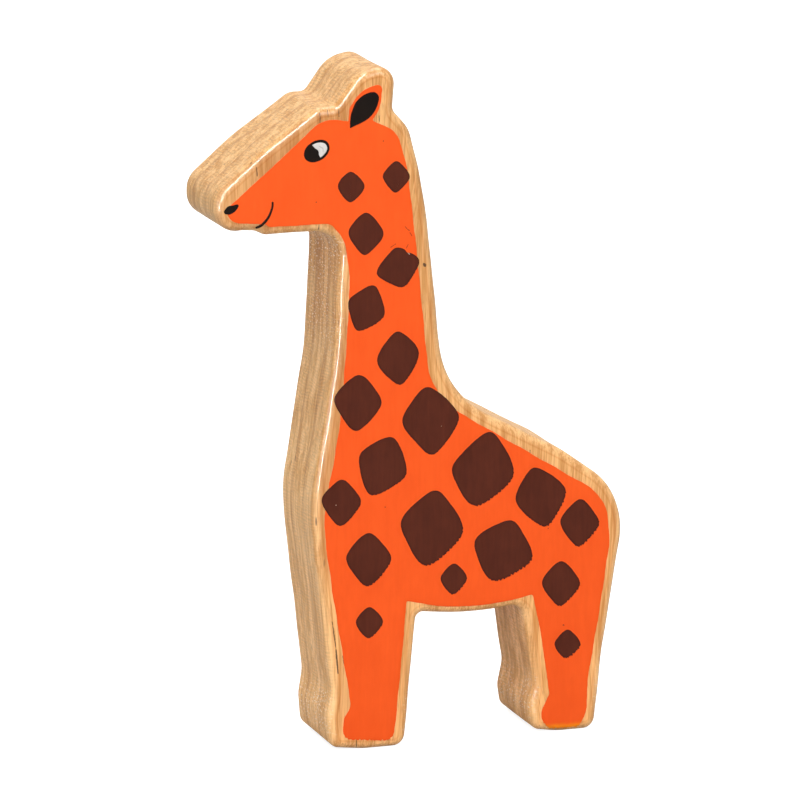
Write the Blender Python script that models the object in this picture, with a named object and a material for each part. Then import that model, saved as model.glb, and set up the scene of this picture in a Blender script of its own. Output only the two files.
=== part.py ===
"""A flat standing giraffe, sawn from one hardwood board and painted on both faces.

The giraffe looks towards -X and stands on its two feet at Z = 0. Its left face looks
towards -Y and its right face towards +Y. Lengths below are in millimetres and become
metres where a mesh is made.
"""

import math

import bmesh
import bpy
from mathutils import Vector

MM = 0.001
BOARD = 25.0            # thickness of the board
ROUND_OVER = 2.0        # radius worked on every edge of the two faces
ROUND_STEPS = 4         # facets across the round-over
BODY_ARC_STEP = 9.0     # degrees of turn in one facet of the sawn outline
PAINT_ARC_STEP = 15.0   # and of a painted outline
FILM = 0.10             # thickness of one coat of paint
SEAT = 0.03             # clear space between a coat and what it lies on

# Corners of the sawn outline: x, z, corner radius. From the front toe up the chest,
# over the head, down the back and round both legs.
BODY_CORNERS = (
    (-22.9, 0.0, 3.2),      # front toe
    (-22.9, 8.2, 8.0),
    (-21.8, 14.5, 10.0),    # front ankle
    (-26.85, 57.8, 50.0),   # breast
    (-21.0, 93.5, 100.0),   # front of the neck
    (-19.5, 123.5, 5.8),    # throat
    (-37.4, 123.5, 2.6),    # lower lip
    (-39.8, 124.5, 2.6),
    (-49.35, 124.6, 6.0),   # muzzle, below
    (-49.35, 133.4, 6.0),   # muzzle, above
    (-38.2, 142.5, 60.0),   # bridge of the nose
    (-24.7, 152.2, 3.5),    # brow
    (-20.9, 152.2, 2.2),
    (-15.2, 159.7, 6.0),    # ear, front
    (-5.9, 161.1, 4.6),     # ear, top
    (-6.8, 150.5, 2.4),     # ear, foot
    (-2.5, 146.1, 6.0),     # crown
    (-0.3, 136.0, 40.0),    # nape
    (1.7, 123.5, 60.0),
    (5.6, 84.3, 20.0),      # foot of the neck
    (34.0, 67.9, 25.0),     # back
    (49.7, 57.6, 17.0),     # rump
    (49.5, 46.0, 20.0),
    (45.3, 20.0, 40.0),     # hind leg, behind
    (43.1, 0.0, 3.2),       # heel
    (26.7, 0.0, 3.4),       # hind toe
    (26.9, 6.4, 6.0),
    (28.1, 12.4, 8.0),      # hind ankle
    (25.2, 32.0, 3.2),      # groin
    (13.5, 30.5, 60.0),     # belly
    (-1.0, 32.1, 1.8),      # behind the foreleg
    (-4.0, 0.0, 3.2),       # back of the front foot
)

# Corners of the orange coat, in the same order. It keeps a rim of bare wood all round.
COAT_CORNERS = (
    (-19.0, 2.9, 1.4),
    (-19.5, 8.0, 2.5),
    (-17.2, 11.6, 2.0),
    (-21.5, 37.5, 60.0),
    (-23.9, 55.5, 20.0),
    (-19.9, 78.7, 80.0),
    (-17.9, 99.5, 60.0),
    (-17.3, 112.0, 30.0),
    (-17.9, 120.0, 5.0),
    (-22.1, 125.6, 2.2),
    (-36.2, 125.4, 2.0),
    (-37.8, 126.2, 2.0),
    (-45.2, 127.0, 2.0),
    (-47.2, 129.9, 1.2),
    (-34.1, 140.9, 60.0),
    (-24.7, 149.4, 4.0),
    (-17.5, 148.7, 0.1),    # front foot of the ear
    (-17.3, 151.2, 6.0),
    (-14.2, 155.6, 4.0),
    (-9.2, 157.3, 1.6),
    (-9.9, 151.8, 6.0),
    (-12.1, 148.2, 0.1),    # back foot of the ear
    (-5.0, 145.3, 5.0),
    (-3.6, 136.5, 30.0),
    (-1.8, 121.8, 80.0),
    (3.0, 82.3, 19.0),
    (32.0, 64.6, 60.0),
    (46.7, 55.7, 9.5),
    (46.2, 46.0, 20.0),
    (43.9, 28.5, 60.0),
    (41.5, 10.5, 40.0),
    (41.0, 5.2, 6.0),
    (39.6, 1.3, 1.2),
    (30.4, 1.5, 1.2),
    (29.4, 4.9, 2.5),
    (32.1, 9.7, 1.2),
    (29.4, 24.0, 40.0),
    (27.3, 34.1, 0.15),
    (17.5, 32.6, 30.0),
    (6.8, 32.8, 30.0),
    (-3.6, 35.0, 0.15),
    (-4.3, 26.5, 40.0),
    (-6.2, 7.5, 10.0),
    (-7.2, 2.0, 1.2),
    (-13.9, 2.2, 6.0),
)

# The brown spots: name, four sharp corners (front, top, back, bottom), corner radius.
SPOTS = (
    ("cheek", (-20.6, 133.8), (-17.0, 137.8), (-13.3, 133.3), (-17.1, 128.9), 1.5),
    ("nape", (-9.8, 135.8), (-6.1, 139.6), (-2.5, 135.3), (-6.4, 130.5), 1.5),
    ("neck_front_top", (-18.2, 123.1), (-13.4, 128.2), (-8.6, 122.2), (-13.8, 116.3), 1.9),
    ("neck_back_top", (-11.8, 113.2), (-6.3, 119.3), (0.0, 115.4), (-4.8, 108.9), 1.8),
    ("neck_front_mid", (-17.9, 107.3), (-11.6, 111.0), (-8.5, 102.6), (-15.8, 99.0), 1.7),
    ("neck_back_low", (-11.8, 93.0), (-6.2, 99.6), (0.0, 93.8), (-5.6, 86.0), 1.9),
    ("neck_front_low", (-22.2, 85.0), (-14.9, 90.2), (-8.6, 82.1), (-15.7, 75.2), 2.4),
    ("withers", (-5.6, 78.7), (1.6, 86.6), (9.8, 78.2), (2.7, 67.8), 2.7),
    ("chest", (-15.8, 70.4), (-7.0, 75.1), (-3.2, 65.1), (-12.2, 60.0), 2.2),
    ("back", (6.7, 65.9), (17.0, 75.2), (23.1, 63.6), (13.3, 54.9), 2.7),
    ("breast", (-25.3, 60.7), (-19.3, 65.8), (-14.4, 59.6), (-19.6, 53.3), 1.9),
    ("loin", (22.0, 58.1), (27.8, 65.2), (36.1, 59.8), (30.8, 48.5), 1.9),
    ("rump", (33.5, 51.5), (39.1, 57.0), (44.1, 49.9), (38.6, 43.6), 1.7),
    ("flank", (-6.2, 54.7), (3.4, 62.3), (11.2, 50.8), (0.3, 41.8), 2.4),
    ("belly_rear", (12.3, 48.9), (22.0, 53.4), (27.8, 42.8), (16.4, 36.9), 2.2),
    ("shoulder", (-19.0, 46.5), (-13.2, 52.7), (-6.8, 45.1), (-13.1, 38.3), 1.9),
    ("belly_small", (4.1, 39.6), (7.7, 43.7), (11.6, 39.1), (7.6, 34.6), 1.5),
    ("thigh", (29.1, 37.0), (34.6, 42.1), (39.7, 35.8), (34.4, 29.5), 1.7),
    ("foreleg", (-16.6, 30.6), (-12.8, 34.9), (-9.0, 30.3), (-12.9, 25.8), 1.5),
    ("hind_leg", (32.3, 21.2), (36.1, 25.5), (39.9, 21.0), (35.8, 16.8), 1.5),
)

# Corners of the black inner ear and nostril.
EAR_CORNERS = (
    (-17.2, 147.1, 0.2),
    (-17.3, 152.7, 5.0),
    (-13.7, 155.7, 3.0),
    (-9.8, 155.1, 1.5),
    (-10.5, 150.9, 6.0),
    (-13.0, 148.3, 2.5),
)
NOSTRIL_CORNERS = (
    (-47.6, 128.9, 0.6),
    (-47.3, 130.6, 0.7),
    (-45.3, 131.1, 1.2),
    (-43.6, 131.2, 0.2),
    (-44.6, 129.5, 1.4),
    (-46.3, 128.6, 0.8),
)

# The eye: a tilted oval, with a crescent left white between it and the round pupil.
EYE_CENTRE = (-25.2, 142.3)
EYE_HALF_LONG = 3.33
EYE_HALF_SHORT = 2.58
EYE_TILT = 40.0
EYE_RIM = 0.52          # width of black left round the outside of the white
PUPIL_CENTRE = (-26.35, 141.65)
PUPIL_RADIUS = 1.72
EYE_POINTS = 28

# The smile: a brush line along one curve, start, pull and end, with its width.
SMILE_START = (-35.8, 131.3)
SMILE_PULL = (-36.0, 127.6)
SMILE_END = (-39.6, 125.5)
SMILE_WIDTH = 0.62
SMILE_POINTS = 9

COLOURS = {             # base colour in linear light, roughness
    "bare_wood": ((0.72, 0.47, 0.24), 0.42),
    "orange_paint": ((0.90, 0.125, 0.022), 0.38),
    "brown_paint": ((0.105, 0.026, 0.014), 0.40),
    "black_paint": ((0.012, 0.011, 0.012), 0.35),
    "white_paint": ((0.82, 0.80, 0.77), 0.35),
}


def rounded(corners, arc_step):
    """Points round a closed outline whose corners are replaced by arcs."""
    points = []
    count = len(corners)
    for i in range(count):
        corner = Vector(corners[i][:2])
        radius = corners[i][2]
        back = (Vector(corners[i - 1][:2]) - corner).normalized()
        ahead = (Vector(corners[(i + 1) % count][:2]) - corner).normalized()
        turn = math.pi - back.angle(ahead)
        reach = radius * math.tan(turn / 2)
        centre = corner + (back + ahead).normalized() * (radius / math.cos(turn / 2))
        spoke = corner + back * reach - centre
        side = 1.0 if back.cross(ahead) < 0 else -1.0
        steps = max(2, math.ceil(math.degrees(turn) / arc_step))
        if turn < math.radians(4):
            steps = 1
        for k in range(steps + 1):
            angle = side * turn * k / steps
            x = spoke.x * math.cos(angle) - spoke.y * math.sin(angle)
            z = spoke.x * math.sin(angle) + spoke.y * math.cos(angle)
            points.append((centre.x + x, centre.y + z))
    return points


def oval(centre, half_long, half_short, tilt, points):
    """Points round an ellipse whose long axis leans up by tilt degrees."""
    lean = math.radians(tilt)
    result = []
    for k in range(points):
        angle = 2 * math.pi * k / points
        along = half_long * math.cos(angle)
        across = half_short * math.sin(angle)
        x = centre[0] + along * math.cos(lean) - across * math.sin(lean)
        z = centre[1] + along * math.sin(lean) + across * math.cos(lean)
        result.append((x, z))
    return result


def crescent():
    """The white of the eye: inside the black rim and outside the pupil."""
    inner = oval(EYE_CENTRE, EYE_HALF_LONG - EYE_RIM, EYE_HALF_SHORT - EYE_RIM, EYE_TILT, 48)
    outside = [math.dist(p, PUPIL_CENTRE) > PUPIL_RADIUS + 0.05 for p in inner]
    first = next(i for i in range(48) if outside[i] and not outside[i - 1])
    rim = []
    for k in range(48):
        if outside[(first + k) % 48]:
            rim.append(inner[(first + k) % 48])
    start = math.atan2(rim[-1][1] - PUPIL_CENTRE[1], rim[-1][0] - PUPIL_CENTRE[0])
    end = math.atan2(rim[0][1] - PUPIL_CENTRE[1], rim[0][0] - PUPIL_CENTRE[0])
    while end > start:
        end -= 2 * math.pi
    bite = []
    for k in range(1, 9):
        angle = start + (end - start) * k / 9
        x = PUPIL_CENTRE[0] + PUPIL_RADIUS * math.cos(angle)
        z = PUPIL_CENTRE[1] + PUPIL_RADIUS * math.sin(angle)
        bite.append((x, z))
    return rim + bite


def brush_line(start, pull, end, width, points):
    """Points round a line of even width along a curve, with round ends."""
    start, pull, end = Vector(start), Vector(pull), Vector(end)
    near_side, far_side = [], []
    for k in range(points):
        t = k / (points - 1)
        spot = start * (1 - t) ** 2 + pull * 2 * t * (1 - t) + end * t ** 2
        way = (pull - start) * (1 - t) + (end - pull) * t
        across = Vector((-way.y, way.x)).normalized() * width / 2
        near_side.append(tuple(spot + across))
        far_side.append(tuple(spot - across))
    first_way = (pull - start).normalized() * width / 2
    last_way = (end - pull).normalized() * width / 2
    return near_side + [tuple(end + last_way)] + far_side[::-1] + [tuple(start - first_way)]


def inset(points, depth):
    """The clockwise outline moved inwards by depth, each corner along its own mitre."""
    result = []
    for i in range(len(points)):
        here = Vector(points[i])
        before = (here - Vector(points[i - 1])).normalized()
        after = (Vector(points[(i + 1) % len(points)]) - here).normalized()
        inward = Vector((before.y + after.y, -before.x - after.x)).normalized()
        mitre = inward.dot(Vector((after.y, -after.x)))
        result.append(tuple(here + inward * (depth / mitre)))
    return result


def middle(points):
    mid_x = (min(p[0] for p in points) + max(p[0] for p in points)) / 2
    mid_z = (min(p[1] for p in points) + max(p[1] for p in points)) / 2
    return mid_x, mid_z


def stack(name, rings, at):
    """A closed solid through rings of points, each ring given with its depth along Y."""
    work = bmesh.new()
    loops = []
    for points, depth in rings:
        loop = []
        for x, z in points:
            loop.append(work.verts.new(((x - at[0]) * MM, depth * MM, (z - at[1]) * MM)))
        loops.append(loop)
    count = len(loops[0])
    for near, far in zip(loops, loops[1:]):
        for i in range(count):
            j = (i + 1) % count
            work.faces.new((near[i], near[j], far[j], far[i]))
    work.faces.new(loops[0])
    work.faces.new(loops[-1])
    bmesh.ops.recalc_face_normals(work, faces=work.faces)
    mesh = bpy.data.meshes.new(name)
    work.to_mesh(mesh)
    work.free()
    mesh.shade_smooth()
    mesh.set_sharp_from_angle(angle=math.radians(35))
    return mesh


def rounded_board(name, points):
    """The sawn board, its two faces edged by a quarter round."""
    rings = []
    for k in range(ROUND_STEPS + 1):
        angle = math.pi / 2 * k / ROUND_STEPS
        loop = inset(points, ROUND_OVER * (1 - math.sin(angle)))
        rings.append((loop, -BOARD / 2 + ROUND_OVER * (1 - math.cos(angle))))
    rings += [(loop, -depth) for loop, depth in rings[::-1]]
    return stack(name, rings, middle(points))


def material(name):
    colour, roughness = COLOURS[name]
    made = bpy.data.materials.new(name)
    made.use_nodes = True
    shader = made.node_tree.nodes["Principled BSDF"]
    shader.inputs["Base Color"].default_value = (*colour, 1.0)
    shader.inputs["Roughness"].default_value = roughness
    shader.inputs["Metallic"].default_value = 0.0
    made.diffuse_color = (*colour, 1.0)
    return made


def place(name, mesh, at, depth, parent):
    piece = bpy.data.objects.new(name, mesh)
    piece.location = (at[0] * MM, depth * MM, at[1] * MM)
    piece.parent = parent
    bpy.context.scene.collection.objects.link(piece)
    return piece


def both_faces(name, points, layer, paint, parent):
    """The same painted patch on the left and the right face, in the given layer."""
    at = middle(points)
    mesh = stack(name, [(points, -FILM / 2), (points, FILM / 2)], at)
    mesh.materials.append(paint)
    depth = BOARD / 2 + layer * SEAT + (layer - 0.5) * FILM
    place(name + "_left", mesh, at, -depth, parent)
    place(name + "_right", mesh, at, depth, parent)


for old in list(bpy.data.objects):
    bpy.data.objects.remove(old, do_unlink=True)

giraffe = bpy.data.objects.new("giraffe", None)
bpy.context.scene.collection.objects.link(giraffe)
paints = {name: material(name) for name in COLOURS}

outline = rounded(BODY_CORNERS, BODY_ARC_STEP)
board = rounded_board("wood_body", outline)
board.materials.append(paints["bare_wood"])
place("wood_body", board, middle(outline), 0.0, giraffe)

both_faces("orange_coat", rounded(COAT_CORNERS, PAINT_ARC_STEP), 1, paints["orange_paint"], giraffe)
for spot in SPOTS:
    corners = [(x, z, spot[5]) for x, z in spot[1:5]]
    patch = rounded(corners, PAINT_ARC_STEP)
    both_faces("spot_" + spot[0], patch, 2, paints["brown_paint"], giraffe)
inner_ear = rounded(EAR_CORNERS, PAINT_ARC_STEP)
both_faces("ear_black", inner_ear, 2, paints["black_paint"], giraffe)
eye = oval(EYE_CENTRE, EYE_HALF_LONG, EYE_HALF_SHORT, EYE_TILT, EYE_POINTS)
both_faces("eye_black", eye, 2, paints["black_paint"], giraffe)
both_faces("eye_white", crescent(), 3, paints["white_paint"], giraffe)
nostril = rounded(NOSTRIL_CORNERS, PAINT_ARC_STEP)
both_faces("nostril", nostril, 2, paints["black_paint"], giraffe)
smile = brush_line(SMILE_START, SMILE_PULL, SMILE_END, SMILE_WIDTH, SMILE_POINTS)
both_faces("smile", smile, 2, paints["black_paint"], giraffe)
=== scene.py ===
import math
import zlib

import bpy
import numpy as np
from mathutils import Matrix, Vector


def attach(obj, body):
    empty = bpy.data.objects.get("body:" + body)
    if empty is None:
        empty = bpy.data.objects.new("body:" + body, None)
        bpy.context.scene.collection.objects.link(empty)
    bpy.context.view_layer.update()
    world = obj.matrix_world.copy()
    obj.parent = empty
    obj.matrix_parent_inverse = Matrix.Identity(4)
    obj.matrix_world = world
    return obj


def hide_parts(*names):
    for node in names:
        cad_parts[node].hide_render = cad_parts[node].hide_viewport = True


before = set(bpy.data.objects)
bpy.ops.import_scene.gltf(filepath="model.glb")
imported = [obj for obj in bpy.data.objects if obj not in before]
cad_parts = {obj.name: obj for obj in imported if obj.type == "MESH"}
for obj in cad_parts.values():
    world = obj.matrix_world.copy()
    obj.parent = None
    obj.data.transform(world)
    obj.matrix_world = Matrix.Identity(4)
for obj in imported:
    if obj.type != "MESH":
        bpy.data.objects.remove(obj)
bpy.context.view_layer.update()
print("frame loaded:", len(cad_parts), "nodes")

mm = 0.001                      # every length below is in millimetres until its mesh is made


def unit(vectors):
    # Each vector divided by its own length.
    return vectors / np.maximum(np.linalg.norm(vectors, axis=-1, keepdims=True), 1e-9)


def outlineOf(corners, step):
    # Straight runs joined by arcs. Each corner (x, z, radius) is cut back along both of its sides
    # by radius * tan(turn / 2), and an arc of that radius, set out from its centre, joins the cuts.
    # No facet is longer than step or turns through more than 0.14 radians.
    table = np.array(corners, float)
    corner, radius = table[:, :2], table[:, 2]
    back = unit(np.roll(corner, 1, 0) - corner)
    ahead = unit(np.roll(corner, -1, 0) - corner)
    turn = np.pi - np.arccos(np.clip((back * ahead).sum(1), -1, 1))
    reach = (radius * np.tan(turn / 2))[:, None]
    centre = corner + unit(back + ahead) * (radius / np.cos(turn / 2))[:, None]
    side = np.where(back[:, 0] * ahead[:, 1] - back[:, 1] * ahead[:, 0] < 0, 1.0, -1.0)
    start, stop = corner + back * reach, corner + ahead * reach
    runs = []
    for i in range(len(corner)):
        facets = max(2, math.ceil(radius[i] * turn[i] / step), math.ceil(turn[i] / 0.14))
        angle = side[i] * turn[i] * np.linspace(0, 1, facets + 1)
        spoke = start[i] - centre[i]
        arc = np.stack([spoke[0] * np.cos(angle) - spoke[1] * np.sin(angle),
                        spoke[0] * np.sin(angle) + spoke[1] * np.cos(angle)], 1)
        gap = start[(i + 1) % len(corner)] - stop[i]
        pieces = max(1, math.ceil(np.linalg.norm(gap) / step))
        runs += [centre[i] + arc, stop[i] + gap * np.linspace(0, 1, pieces + 1)[1:-1, None]]
    return np.concatenate(runs)


def outwards(points):
    # The outward normal of a clockwise outline: its travel turned a quarter to the left.
    travel = unit(np.roll(points, -1, 0) - np.roll(points, 1, 0))
    return np.stack([-travel[:, 1], travel[:, 0]], 1)


def softQuad(corners, bulge, soften, count=220):
    # Four sharp corners joined by sides that bow outwards by 4 * bulge * t(1 - t). The closed line
    # is then blurred along its length by a bell curve of width soften, which rounds the corners.
    corner = np.array(corners, float)
    run = np.roll(corner, -1, 0) - corner
    bow = unit(np.stack([-run[:, 1], run[:, 0]], 1)) * 4 * bulge
    t = np.linspace(0, 1, 60, endpoint=False)[None, :, None]
    line = (corner[:, None] + run[:, None] * t + bow[:, None] * t * (1 - t)).reshape(-1, 2)
    along = lengthAlong(line)
    at = np.linspace(0, along[-1], count, endpoint=False)
    even = np.stack([np.interp(at, along, np.append(line[:, k], line[0, k])) for k in (0, 1)], 1)
    waves = np.fft.fftfreq(count, along[-1] / count)[:, None]
    bell = np.exp(-2 * (np.pi * waves * soften) ** 2)
    return np.fft.ifft(np.fft.fft(even, axis=0) * bell, axis=0).real


def curveThrough(points, count):
    # A smooth open curve through the points: between two of them it is the cubic whose slope at
    # each is half the step from the point before to the point after.
    known = np.array(points, float)
    known = np.concatenate([2 * known[:1] - known[1:2], known, 2 * known[-1:] - known[-2:-1]])
    t = np.linspace(0, len(points) - 1, count)
    i = np.clip(t.astype(int), 0, len(points) - 2)
    u = (t - i)[:, None]
    before, here, there, after = (known[i + k] for k in range(4))
    return here + 0.5 * u * (there - before + u * (2 * before - 5 * here + 4 * there - after
                                                  + u * (3 * (here - there) + after - before)))


def lengthAlong(points):
    # The running sum of the steps round a closed outline. There is one more than there are points:
    # the last closes the loop.
    steps = np.linalg.norm(np.roll(points, -1, 0) - points, axis=1)
    return np.concatenate([[0], np.cumsum(steps)])


def wander(along, whole, seed, waves):
    # A closed, seeded wobble: sines of whole numbers of turns round the outline, (turns, size).
    dice = np.random.default_rng(seed)
    total = np.zeros_like(along)
    for turns, size in waves:
        total += size * np.sin(2 * np.pi * (turns * along / whole + dice.random()))
    return total


def closedSurface(name, rings, values=None, uv=None):
    # rings[j, i] is step j of the profile carried to point i of the outline. Neighbouring rings are
    # joined by quads and the first and last are each closed by one flat face.
    steps, count = rings.shape[:2]
    i = np.arange(count)
    j = np.arange(steps - 1)[:, None]
    nextI = (i + 1) % count
    quads = np.stack([j * count + i, j * count + nextI,
                      (j + 1) * count + nextI, (j + 1) * count + i], -1).reshape(-1, 4)
    caps = np.array([i[::-1], (steps - 1) * count + i])
    points = rings.reshape(-1, 3)

    def swept(loops):           # six times the volume that fans over the loops enclose
        a, b, c = points[loops[:, :1]], points[loops[:, 1:-1]], points[loops[:, 2:]]
        return (a * np.cross(b, c)).sum()

    flip = swept(quads) + swept(caps) < 0
    if flip:
        quads, caps = quads[:, ::-1], caps[:, ::-1]
    mesh = bpy.data.meshes.new(name)
    mesh.vertices.add(len(points))
    mesh.vertices.foreach_set("co", (points * mm).astype(np.float32).ravel())
    mesh.loops.add(quads.size + caps.size)
    corners = np.concatenate([quads.ravel(), caps.ravel()]).astype(np.int32)
    mesh.loops.foreach_set("vertex_index", corners)
    mesh.polygons.add(len(quads) + 2)
    starts = np.concatenate([np.arange(len(quads)) * 4, quads.size + np.arange(2) * count])
    mesh.polygons.foreach_set("loop_start", starts.astype(np.int32))
    for label, perRing in (values or {}).items():
        layer = mesh.attributes.new(label, "FLOAT", "POINT")
        layer.data.foreach_set("value", np.repeat(perRing, count).astype(np.float32))
    if uv is not None:          # length along the outline, one extra to close it; a height per ring
        layer = mesh.uv_layers.new(name="wallUV")
        along, across = uv
        u = np.stack([i, i + 1, i + 1, i], -1)[None].repeat(steps - 1, 0).reshape(-1, 4)
        v = np.stack([j + 0 * i, j + 0 * i, j + 1 + 0 * i, j + 1 + 0 * i], -1).reshape(-1, 4)
        if flip:
            u, v = u[:, ::-1], v[:, ::-1]
        capU = along[caps % count]
        capV = across[caps // count]
        pairs = np.concatenate([np.stack([along[u], across[v]], -1).reshape(-1, 2),
                                np.stack([capU, capV], -1).reshape(-1, 2)])
        layer.data.foreach_set("uv", pairs.astype(np.float32).ravel())
    mesh.update(calc_edges=True)
    mesh.validate()
    mesh.shade_smooth()
    made = bpy.data.objects.new(name, mesh)
    bpy.context.scene.collection.objects.link(made)
    return made


def putOn(made, cadNode, finish):
    # Gives a new piece its finish, hangs it from the root body and hides the CAD node it stands
    # for.
    made.data.materials.append(finish)
    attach(made, "root")
    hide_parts(cadNode)
    return made


def addNode(tree, kind, inputs=None, **settings):
    made = tree.nodes.new(kind)
    for key, value in settings.items():
        setattr(made, key, value)
    for key, value in (inputs or {}).items():
        if isinstance(value, bpy.types.NodeSocket):
            tree.links.new(value, made.inputs[key])
        else:
            made.inputs[key].default_value = value
    return made


def sums(tree, operation, a, b=0.0, c=0.0, clamp=False):
    made = addNode(tree, "ShaderNodeMath", {0: a, 1: b, 2: c}, operation=operation, use_clamp=clamp)
    return made.outputs[0]


def times(tree, a, b):
    return sums(tree, "MULTIPLY", a, b)


def vectorMath(tree, operation, a, b=(0, 0, 0), c=(0, 0, 0), output=0):
    made = addNode(tree, "ShaderNodeVectorMath", {0: a, 1: b, 2: c}, operation=operation)
    return made.outputs[output]


def scaled(tree, vector, factor):
    made = addNode(tree, "ShaderNodeVectorMath", {0: vector, "Scale": factor}, operation="SCALE")
    return made.outputs[0]


def axes(tree, vector):
    return addNode(tree, "ShaderNodeSeparateXYZ", {0: vector}).outputs


def attribute(tree, name):
    return addNode(tree, "ShaderNodeAttribute", attribute_name=name).outputs["Fac"]


def stretch(tree, vector, scale):
    # The vector times scale along each axis, so that scale is cells per millimetre.
    return addNode(tree, "ShaderNodeMapping", {"Vector": vector, "Scale": scale}).outputs[0]


def noise(tree, vector, detail=2.0, rough=0.5, output="Fac"):
    made = addNode(tree, "ShaderNodeTexNoise", {"Vector": vector, "Scale": 1.0, "Detail": detail,
                                                "Roughness": rough})
    return made.outputs[output]


def cellSpots(tree, vector, scale, channel, share, size):
    # Round spots, one near the middle of each random cell, in the cells whose random colour passes
    # share. Both share and size are (from, to) of a soft step.
    cells = addNode(tree, "ShaderNodeTexVoronoi", {"Vector": vector, "Scale": scale,
                                                   "Randomness": 1.0})
    dice = addNode(tree, "ShaderNodeSeparateColor", {0: cells.outputs["Color"]}).outputs[channel]
    spot = between(tree, cells.outputs["Distance"], *size, 1.0, 0.0)
    return times(tree, spot, between(tree, dice, *share))


def between(tree, value, low, high, toLow=0.0, toHigh=1.0):
    # A soft step: toLow up to low, toHigh from high on.
    made = addNode(tree, "ShaderNodeMapRange", {"Value": value, "From Min": low, "From Max": high,
                                                "To Min": toLow, "To Max": toHigh},
                   interpolation_type="SMOOTHSTEP")
    return made.outputs["Result"]


def blendColour(tree, amount, a, b, how="MIX"):
    made = tree.nodes.new("ShaderNodeMix")
    made.data_type = "RGBA"
    made.blend_type = how
    for socket, value in ((0, amount), (6, a), (7, b)):
        if isinstance(value, bpy.types.NodeSocket):
            tree.links.new(value, made.inputs[socket])
        else:
            isColour = isinstance(value, tuple)
            made.inputs[socket].default_value = (*value, 1.0) if isColour else value
    return made.outputs[2]


def newGroup(name, inputs, outputs):
    # inputs and outputs: name -> (socket type, default)
    tree = bpy.data.node_groups.new(name, "ShaderNodeTree")
    for direction, sockets in (("INPUT", inputs), ("OUTPUT", outputs)):
        for label, (kind, default) in sockets.items():
            made = tree.interface.new_socket(name=label, in_out=direction,
                                             socket_type="NodeSocket" + kind)
            if direction == "INPUT" and default is not None:
                made.default_value = default
    return tree, tree.nodes.new("NodeGroupInput"), tree.nodes.new("NodeGroupOutput")


def useGroup(tree, group, **inputs):
    made = tree.nodes.new("ShaderNodeGroup")
    made.node_tree = group
    for key, value in inputs.items():
        if isinstance(value, bpy.types.NodeSocket):
            tree.links.new(value, made.inputs[key])
        else:
            made.inputs[key].default_value = value
    return made


def inMillimetres(tree):
    where = tree.nodes.new("ShaderNodeTexCoord")
    return scaled(tree, where.outputs["Object"], 1 / mm)


boardGrain = {                  # cells per mm along X, Y and Z, unless a note says otherwise
    "drift": (0.05, 0.05, 0.018),       # a slow bend of everything below
    "driftPull": (9.0, 5.0, 0.0),       # by up to this many mm
    "broadFibre": (0.55, 0.55, 0.02),
    "fineFibre": (2.6, 2.6, 0.09),
    "hairFibre": (6.5, 6.5, 0.13),
    "poreCells": (0.42, 0.42, 0.085),
    "poreShare": (0.62, 0.72),          # cells with a pore: above this share of the dice
    "poreSize": (0.05, 0.12),           # in cells
    "ringSpacing": 9.0,                 # mm of depth a year
    "ringShift": 1.7,                   # mm
    "ringSlope": 0.03,                  # how far a ring climbs through the board's depth along X
    "ringSharpness": 7.0,
}


def makeFigure(grain):
    # The figure of the board in millimetres: long fibres up Z, growth rings that follow the board's
    # depth, short dark pores, and a height for the raised grain.
    outputs = ("Streaks", "Rings", "Hair", "Pores", "Height")
    tree, given, result = newGroup("boardFigure",
                                   {"Point": ("Vector", None), "Pores": ("Float", 1.0)},
                                   {label: ("Float", None) for label in outputs})
    point = given.outputs["Point"]
    drift = noise(tree, stretch(tree, point, grain["drift"]), detail=1, output="Color")
    pull = vectorMath(tree, "MULTIPLY_ADD", drift, grain["driftPull"], point)
    broad = noise(tree, stretch(tree, pull, grain["broadFibre"]), detail=3, rough=0.55)
    fine = noise(tree, stretch(tree, pull, grain["fineFibre"]), detail=3, rough=0.6)
    streaks = sums(tree, "MULTIPLY_ADD", fine, 0.45, times(tree, broad, 0.55))
    streaks = between(tree, streaks, 0.37, 0.63)
    parts = axes(tree, pull)
    depth = sums(tree, "MULTIPLY_ADD", parts["X"], grain["ringSlope"], parts["Y"])
    turns = times(tree, sums(tree, "ADD", depth, grain["ringShift"]), 1 / grain["ringSpacing"])
    saw = sums(tree, "FRACT", turns)    # rises slowly through a year, then drops at the ring
    late = sums(tree, "POWER", saw, grain["ringSharpness"])
    sudden = between(tree, saw, 0.0, 0.05, 1.0, 0.0)
    rings = sums(tree, "MAXIMUM", late, times(tree, sudden, 0.7))
    pores = cellSpots(tree, stretch(tree, pull, grain["poreCells"]), 1.0, 0,
                      grain["poreShare"], grain["poreSize"])
    pores = times(tree, pores, given.outputs["Pores"])
    hair = between(tree, noise(tree, stretch(tree, pull, grain["hairFibre"]), detail=2), 0.56, 0.72)
    height = sums(tree, "MULTIPLY_ADD", fine, 0.6, times(tree, pores, -0.8))
    for label, socket in zip(outputs, (streaks, rings, hair, pores, height)):
        tree.links.new(socket, result.inputs[label])
    return tree


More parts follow.
